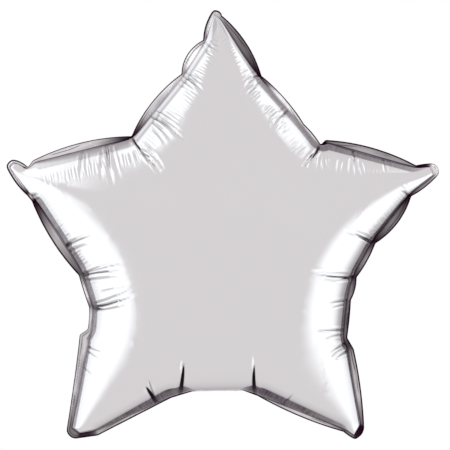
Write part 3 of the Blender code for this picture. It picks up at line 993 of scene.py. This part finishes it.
class Wire:
    """One output socket, with arithmetic."""

    def __init__(self, tree, socket):
        self.tree = tree
        self.socket = socket

    def math(self, operation, *values):
        node = self.tree.nodes.new("ShaderNodeMath")
        node.operation = operation
        for slot, value in zip(node.inputs, values):
            if isinstance(value, Wire):
                self.tree.links.new(value.socket, slot)
            else:
                slot.default_value = value
        return Wire(self.tree, node.outputs[0])

    def __add__(self, other):
        return self.math("ADD", self, other)

    __radd__ = __add__

    def __sub__(self, other):
        return self.math("SUBTRACT", self, other)

    def __rsub__(self, other):
        return self.math("SUBTRACT", other, self)

    def __mul__(self, other):
        return self.math("MULTIPLY", self, other)

    __rmul__ = __mul__

    def __truediv__(self, other):
        return self.math("DIVIDE", self, other)

    def power(self, exponent):
        return self.math("POWER", self, exponent)

    def sine(self):
        return self.math("SINE", self)

    def size(self):
        return self.math("ABSOLUTE", self)

    def larger(self, other):
        return self.math("MAXIMUM", self, other)

    def smaller(self, other):
        return self.math("MINIMUM", self, other)

    def ramp(self, low, high):
        """0 below low, 1 above high, and eased between them. low may be above high."""
        node = self.tree.nodes.new("ShaderNodeMapRange")
        node.interpolation_type = "SMOOTHSTEP"
        self.tree.links.new(self.socket, node.inputs[0])
        first, last = (0.0, 1.0) if low < high else (1.0, 0.0)
        for slot, value in zip(range(1, 5), (min(low, high), max(low, high), first, last)):
            node.inputs[slot].default_value = value
        return Wire(self.tree, node.outputs[0])


# %% A node tree


class Graph:
    """A node tree that is built by asking for nodes."""

    def __init__(self, tree):
        self.tree = tree

    def node(self, kind, settings=None, inputs=None):
        """A node of this kind: its settings first, then the values or links of its sockets."""
        made = self.tree.nodes.new(kind)
        for name, value in (settings or {}).items():
            setattr(made, name, value)
        for name, value in (inputs or {}).items():
            if isinstance(value, Wire):
                self.tree.links.new(value.socket, made.inputs[name])
            else:
                made.inputs[name].default_value = value
        return made

    def wire(self, node, output=0):
        return Wire(self.tree, node.outputs[output])

    def parts(self, vector):
        """The x, y and z of a vector."""
        split = self.node("ShaderNodeSeparateXYZ", inputs={0: vector})
        return [self.wire(split, k) for k in range(3)]

    def joined(self, x, y, z):
        return self.wire(self.node("ShaderNodeCombineXYZ", inputs={0: x, 1: y, 2: z}))

    def noise(self, place, scale, detail=2.0, roughness=0.5):
        return self.wire(self.node("ShaderNodeTexNoise", inputs={
            "Vector": place, "Scale": scale, "Detail": detail, "Roughness": roughness,
        }))

    def flow(self, x, y, z, detail=2.0):
        """Noise over a plane of x and y. Another z gives another noise."""
        return self.noise(self.joined(x, y, z), 1.0, detail)

    def place(self):
        """Where on the object, in metres."""
        return self.wire(self.node("ShaderNodeTexCoord"), "Object")

    def seam_map(self):
        """The distance along the seam, and from it."""
        return self.parts(self.wire(self.node("ShaderNodeUVMap", {"uv_map": "seam_map"})))[:2]

    def carried(self, name):
        """A number that the piece carries at its points."""
        return self.wire(self.node("ShaderNodeAttribute", {"attribute_name": name}), "Fac")

    def bump(self, relief, height, strength=1.0):
        """The normal over a fine relief of this height, in metres."""
        sockets = {"Height": relief, "Distance": height, "Strength": strength}
        return self.wire(self.node("ShaderNodeBump", inputs=sockets))

    def mixed(self, factor, first, second):
        """Two colours mixed. Each is a colour of four numbers or a wire."""
        made = self.node("ShaderNodeMix", {"data_type": "RGBA"}, {0: factor, 6: first, 7: second})
        return self.wire(made, 2)


# %% New materials


def new_material(name, **values):
    """A Principled material with these numbers on its sockets, its graph and its shader."""
    made = bpy.data.materials.new(name)
    made.use_nodes = True
    shader = made.node_tree.nodes["Principled BSDF"]
    for socket, value in values.items():
        shader.inputs[socket.replace("_", " ")].default_value = value
    return made, Graph(made.node_tree), shader


def connect(node, **wires):
    """Links each wire to the socket that it is named after."""
    for socket, wire in wires.items():
        wire.tree.links.new(wire.socket, node.inputs[socket.replace("_", " ")])


# %% [markdown]
# ## Metallised film
#
# The film is a mirror that is a little soft. Its finest creases are under a millimetre wide, too fine for the
# mesh, so a Bump node adds them. They have to run square to the seam all the way round, so they are drawn in
# the seam map, whose first number runs along the seam: stripes across it are creases. Noise bends them, groups
# them and gives each its own length. Beside the weld a dark strip is painted into the colour, a painted
# reflection of the dark room, and on some sides a thin painted line at its end and painted shade past it. The
# fine creases get a little painted shade along them too, and the darkest large creases painted shade along
# their folds. An image could hold all this, but numbers that the mesh carries at its points keep it sharp and
# easy to change.

# %% Film material
STREAK_PERIOD = 3.7 * MM
# Colours of painted reflection and shade: the dark strip beside the weld; its line, the shade past it and
# along the fine creases; and the folds of the darkest creases.
STRIP_DARK, LINE_DARK, FOLD_DARK = (0.026, 0.0, 0.020, 1), (0.05, 0.04, 0.05, 1), (0.010, 0.005, 0.010, 1)


def film_material(name):
    made, graph, shader = new_material(name, Metallic=1.0, IOR=1.5, Specular_Tint=(0.65, 0.62, 0.65, 1))
    along, inwards = graph.seam_map()
    place = graph.place()
    near, fold_shade, streaks_from, streaks_to, strip_width, strip_tone, strip_line, strip_shade = (
        graph.carried(value_name) for value_name in film_values
    )
    wander = graph.flow(along * 55, inwards * 8, 0)
    group = graph.flow(along * 38, 3.7, 0, 1.0).ramp(0.36, 0.62)
    reach = graph.flow(along * 210, 8.1, 0, 1.0) * 1.6
    tooth = (along * (2 * math.pi / STREAK_PERIOD) + wander * 20).sine()
    part = (inwards - streaks_from) / (streaks_to - streaks_from)
    fade = (part / reach).ramp(1.0, 0.35) * part.ramp(-0.15, 0.15)
    strength = fade * (group * 0.6 + 0.4) * near
    relief = tooth * strength + graph.noise(place, 900) * 0.012
    cloud = graph.noise(place, 14, 3.0)
    tint = graph.mixed(cloud, (0.905, 0.892, 0.900, 1), (0.925, 0.915, 0.920, 1))
    # The colour from here on is painted reflection and shade: the dark strip beside the weld, a little lighter
    # right at the weld and uneven along it, its thin line, the shade past it and along the fine creases, and
    # the darkest folds.
    past_strip = inwards - strip_width
    streak_noise = graph.flow(along * 45, inwards * 130, 0, 3.0) * 0.5
    streak_noise = streak_noise + graph.flow(along * 420, inwards * 60, 2.2) * 0.5 + 0.52
    beside_weld = inwards.ramp(2.2 * MM, 0.8 * MM)
    in_strip = past_strip.ramp(0.8 * MM, -0.6 * MM) * (1 - strip_tone) * streak_noise * (1 - beside_weld * 0.45)
    tint = graph.mixed(in_strip.smaller(1.0), tint, STRIP_DARK)
    on_line = (past_strip / (2.1 * MM)).size().ramp(1.3, 0.1) * (1 - strip_line)
    beyond = past_strip.ramp(9 * MM, 0.0) * strip_shade * 0.6
    between = tooth.ramp(0.35, 1.0) * strength * 0.22
    for shade in (on_line, beyond, between):
        tint = graph.mixed(shade, tint, LINE_DARK)
    tint = graph.mixed(fold_shade, tint, FOLD_DARK)
    rough = cloud * 0.04 + 0.085 + near * 0.02
    connect(shader, Base_Color=tint, Roughness=rough, Normal=graph.bump(relief, 0.22 * MM))
    return made


for piece in (front_film, back_film):
    piece.data.materials.append(film_material(piece.name))
print("film nodes", len(front_film.active_material.node_tree.nodes))

# %% [markdown]
# ## Border, tail and valve finishes
#
# The heat seal leaves the border duller than the film, with a fine crimp across it. Its light and dark along
# each scallop, a wandering dark line along it, and dark lines along its cut edge and its weld are painted
# reflection and shade. The tail is the same film, handled more, with both its sides sealed. The valve's films
# are clear and slightly milky. Each finish is a formula over the piece's own place and values, like the
# film's, so that they all belong together and no image is needed.

# %% Border finish
CRIMP_PERIOD = 3.1 * MM


def border_material():
    made, graph, shader = new_material("heat_seal", Metallic=1.0)
    along, across = graph.seam_map()
    from_seam, from_edge, tone, edge_line, weld_line = (graph.carried(name) for name in border_values)
    wander = graph.flow(along * 90, across * 60, 0)
    ripple = (along * (2 * math.pi / CRIMP_PERIOD) + wander * 14).sine()
    relief = ripple * 0.30 + graph.noise(graph.place(), 210, 3.0) * 0.9
    # The border's colour is painted reflection and shade: its tone along each scallop, varied by streak noise
    # that also sets its roughness, a wandering painted line, and dark painted lines at its cut edge and weld.
    streak_noise = graph.flow(along * 30, across * 160, 0, 3.0)
    folded = graph.flow(along * 26, 5.5, 0, 1.0)
    fold_line_shade = (from_edge - folded * (6 * MM)).size().ramp(0.75 * MM, 0.2 * MM) * folded.ramp(0.42, 0.56)
    cut_edge = (from_edge / (edge_line * (1.9 * MM) + 0.1 * MM)).ramp(1.0, 0.55)
    weld = from_seam.ramp(1.4 * MM, 0.5 * MM) * weld_line
    lines = (fold_line_shade * 0.75).larger(cut_edge).larger(weld * 0.85)
    shade = tone * (1 + (streak_noise - 0.5) * 1.5) * (1 - lines)
    tint = graph.mixed(shade.larger(0.0).smaller(0.92), (0.018, 0.0, 0.012, 1), (1.0, 0.97, 0.99, 1))
    connect(shader, Base_Color=tint, Roughness=streak_noise * 0.12 + 0.14, Normal=graph.bump(relief, 0.3 * MM))
    return made


border.data.materials.append(border_material())
print("border nodes", len(border.active_material.node_tree.nodes))

# %% Tail and valve finishes
RIB_PERIOD, EDGE_RIB_PERIOD = 2.1 * MM, 1.6 * MM


def tail_material():
    made, graph, shader = new_material("tail_film", Metallic=1.0)
    place = graph.place()
    crush = graph.noise(place, 120, 3.0, 0.55)
    from_side = graph.carried("from_side")
    sealed = from_side.ramp(4.6 * MM, 3.8 * MM)
    ribs = (graph.parts(place)[2] * (2 * math.pi / RIB_PERIOD)).sine() * sealed
    tint = graph.mixed(graph.noise(place, 40), (0.84, 0.83, 0.84, 1), (0.92, 0.91, 0.92, 1))
    weld = (from_side / (4.2 * MM) - 1).size().ramp(0.16, 0.05) * 0.6
    tint = graph.mixed(sealed * 0.45 + weld, tint, (0.20, 0.18, 0.20, 1))
    normal = graph.bump(crush + ribs * 0.02, 5.5 * MM)
    connect(shader, Base_Color=tint, Roughness=crush * 0.08 + 0.08, Normal=normal)
    return made


def tail_edge_material():
    made, graph, shader = new_material("tail_heat_seal", Metallic=1.0, Roughness=0.27)
    place = graph.place()
    ribs = (graph.parts(place)[2] * (2 * math.pi / EDGE_RIB_PERIOD)).sine() * 0.6
    tint = graph.mixed(graph.noise(place, 120), (0.55, 0.53, 0.55, 1), (0.72, 0.70, 0.72, 1))
    normal = graph.bump(ribs + graph.noise(place, 300) * 0.6, 0.2 * MM)
    connect(shader, Base_Color=tint, Normal=normal)
    return made


def valve_material():
    made, graph, shader = new_material("valve_film", Metallic=0.0, IOR=1.5)
    haze = graph.noise(graph.place(), 90, 3.0)
    tint = graph.mixed(haze, (0.80, 0.83, 0.86, 1), (0.90, 0.92, 0.94, 1))
    normal = graph.bump(haze, 0.5 * MM, 0.6)
    connect(shader, Base_Color=tint, Alpha=haze * 0.25 + 0.42, Roughness=haze * 0.2 + 0.2, Normal=normal)
    return made


finishes = {"foil": tail_material(), "seal": tail_edge_material(), "valve": valve_material()}
for name, *_, slot in TAIL_PIECES:
    tail_pieces[name].data.materials.append(finishes[slot])
print("finishes", *(finish.name for finish in finishes.values()))

# %% [markdown]
# ## The studio
#
# A mirror shows its surroundings and nothing else, so the light is most of this picture. The balloon's
# middle is an even light grey: that is the dim room behind the camera. The flanks that turn left and right
# are white: a large soft panel stands at either side, a small one high on the right, and a narrow one by
# the right tip. Real panels could be set up as lamps, but they would have to be moved by trial. The world
# below gives light by direction instead. It first works out which way a mirror would have to face to send
# that direction to the front, because it is then simple to say where on the balloon each panel shows. Past
# the balloon the camera sees plain white.

# %% World
GREY, WHITE = (0.735, 0.715, 0.722, 1), (1.13, 1.16, 1.18, 1)
world = bpy.data.worlds.new("studio")
scene.world = world
world.use_nodes = True
world.node_tree.nodes.clear()
sky = Graph(world.node_tree)
direction = sky.wire(sky.node("ShaderNodeTexCoord"), "Generated")
halfway = sky.node("ShaderNodeVectorMath", {"operation": "ADD"}, {0: direction, 1: (0, -1.0001, 0)})
facing = sky.node("ShaderNodeVectorMath", {"operation": "NORMALIZE"}, {0: sky.wire(halfway)})
face_x, _, face_z = sky.parts(sky.wire(facing))
tilt = (face_x * face_x + face_z * face_z).power(0.5)  # nought where the film faces the front, 1 edge-on
upper, lower = face_z.larger(0.0), face_z.smaller(0.0)
# The left panel's edge leans with height and lies further out along the arm. It ends at the top and the legs.
left_arm = (face_z + face_x * 0.36).size().ramp(0.13, 0.0)
left = (upper * 0.25 - face_x - lower * 0.4 - left_arm * 0.10).ramp(0.42, 0.54) * face_z.ramp(0.85, 0.72)
left = left * face_z.ramp(-0.52, -0.38) * tilt.ramp(0.985, 0.95)
# The right panel shows below the arm only, and ends short of the film's edge.
steep_right = (face_x - 0.72).larger(0.0)
right = (face_x - lower * 0.8).ramp(0.54, 0.67) * (face_z - steep_right * 2).ramp(0.06, -0.06)
right = right * face_z.ramp(-0.66, -0.50) * (tilt - face_z.ramp(-0.15, 0.1) * 0.12).ramp(0.92, 0.74)
# The small panel high on the right is a rectangle, and the one by the right tip a band along the arm.
high_right = face_z.ramp(0.43, 0.50) * face_z.ramp(0.68, 0.61)
high_right = high_right * (face_x.ramp(0.38, 0.46) * face_x.ramp(0.72, 0.65))
right_tip = face_x.ramp(0.58, 0.68) * (face_z - face_x * 0.38).size().ramp(0.24, 0.14)
right_tip = right_tip * tilt.ramp(0.98, 0.92)
panels = left.larger(right).larger(high_right.larger(right_tip))
light = sky.mixed(panels, GREY, WHITE)
camera_sees = sky.wire(sky.node("ShaderNodeLightPath"), "Is Camera Ray")
shown = sky.mixed(camera_sees, light, (1, 1, 1, 1))
background = sky.node("ShaderNodeBackground", inputs={"Color": shown, "Strength": 1.0})
connect(sky.node("ShaderNodeOutputWorld"), Surface=sky.wire(background))
scene.view_settings.view_transform = "Standard"
print("world nodes", len(world.node_tree.nodes))

# %% [markdown]
# ## The floor
#
# The balloon hangs more than a metre above a plain pale floor, which lies below the photograph's frame. The
# floor is a wide disc that glows more the further out it lies, so that it runs into the white around it, as
# the curved paper of a studio does. It is kept out of the reflections, as the photograph's balloon shows
# none.

# %% Floor
FLOOR_DROP, FLOOR_REACH = 1.1, 7
for selected in bpy.context.selected_objects:
    selected.select_set(False)
bpy.ops.mesh.primitive_circle_add(
    vertices=160, radius=FLOOR_REACH, fill_type="NGON", location=(0, 0, -FLOOR_DROP),
)
floor = bpy.context.object
floor.name = "floor"
floor_material, floor_graph, floor_shader = new_material(
    "pale_floor", Base_Color=(0.88, 0.88, 0.89, 1), Roughness=0.9, Emission_Strength=1.0,
)
floor_x, floor_y, _ = floor_graph.parts(floor_graph.place())
far_out = (floor_x * floor_x + floor_y * floor_y).power(0.5).ramp(1.0, 6.0)
connect(floor_shader, Emission_Color=floor_graph.mixed(far_out, (0, 0, 0, 1), (0.38, 0.38, 0.38, 1)))
floor.data.materials.append(floor_material)
floor.visible_glossy = False
floor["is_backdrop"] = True
print("floor", FLOOR_DROP, "m down,", FLOOR_REACH, "m all round")

# %% [markdown]
# ## The lamp
#
# The world's light comes from all round and leaves the floor and the clear valve flat. One large soft lamp,
# high on the left in front, gives them a bright side. The film would mirror it as a white square, so it is
# kept out of the reflections too.

# %% Softbox
bpy.ops.object.light_add(type="AREA", location=(-0.9, -1.6, 2.6))
softbox = bpy.context.object
softbox.name = "softbox"
softbox.data.size = 2.4
softbox.data.energy = 55
softbox.visible_glossy = False
softbox.rotation_euler = (Vector((0, 0, -0.4)) - softbox.location).to_track_quat("-Z", "Y").to_euler()
print("softbox", round(softbox.data.size, 2), "m wide,", round(softbox.data.energy), "W")

# %% [markdown]
# ## The finish
#
# The last cell prints the dressed model's box, to set beside the CAD model's box printed at the start.

# %% Sizes and the end
low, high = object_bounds()
print("visual box", [round(x, 4) for x in (*low, *high)])
